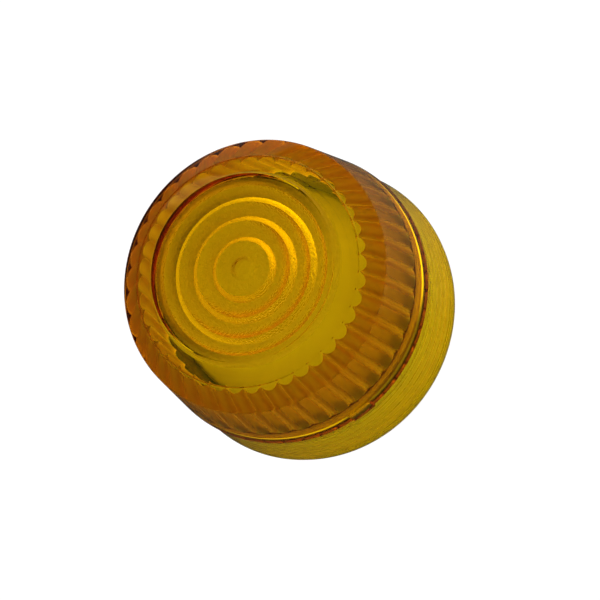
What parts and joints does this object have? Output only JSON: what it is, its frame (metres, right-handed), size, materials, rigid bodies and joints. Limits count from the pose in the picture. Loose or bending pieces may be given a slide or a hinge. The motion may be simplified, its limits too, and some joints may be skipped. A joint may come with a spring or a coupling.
{
  "type": "amber marker lamp",
  "caption": "Small surface marker lamp: transparent amber fluted lens cap that screws onto a threaded base holding a sealed LED board, reflector and opal diffuser.",
  "frame": {"origin": "centre of the flat mounting face under the base", "axes": "+Z out of the mounting surface, along the lens axis; the two mounting holes lie on the X axis"},
  "size_m": [0.03, 0.03, 0.0218],
  "materials": {
    "amber_lens": "clear moulded amber, frosted in the ringed middle of the front",
    "black_rubber": "matte",
    "white_housing": "satin moulded",
    "white_board": "satin solder mask",
    "opal_plastic": "opal, evenly diffusing",
    "led_body": "clear moulded dome on a pale body",
    "brass": "bright",
    "plated_steel": "nickel plated",
    "black_moulding": "matte moulded epoxy",
    "tan_moulding": "matte"
  },
  "bodies": {
    "base": {"base_housing": "white_housing", "rear_seal": "black_rubber", "circuit_board": "white_board", "reflector": "white_housing", "light_diffuser": "opal_plastic", "led_1": "led_body", "led_2": "led_body", "led_3": "led_body", "led_4": "led_body", "led_5": "led_body", "led_6": "led_body", "contact_pin_1": "brass", "contact_pin_2": "brass", "contact_clip_1": "brass", "contact_clip_2": "brass", "terminal_screw_1": "plated_steel", "terminal_screw_2": "plated_steel", "board_screw_1": "plated_steel", "board_screw_2": "plated_steel", "rectifier": "black_moulding", "capacitor": "tan_moulding", "resistor_1": "black_moulding", "resistor_2": "black_moulding"},
    "seal_ring": {"lens_gasket": "black_rubber"},
    "lens": {"lens_cap": "amber_lens"}
  },
  "joints": [
    {"name": "lens_lift", "type": "slide", "parent": "base", "child": "seal_ring", "axis": [0, 0, 1], "range_m": [0, 0.0046]},
    {"name": "lens_unscrew", "type": "hinge", "parent": "seal_ring", "child": "lens", "pos_m": [0, 0, 0], "axis": [0, 0, 1], "range_deg": [0, 1440]}
  ],
  "couplings": [
    {"joint": "lens_unscrew", "follows": "lens_lift", "rad_per_m": 5463.6}
  ]
}
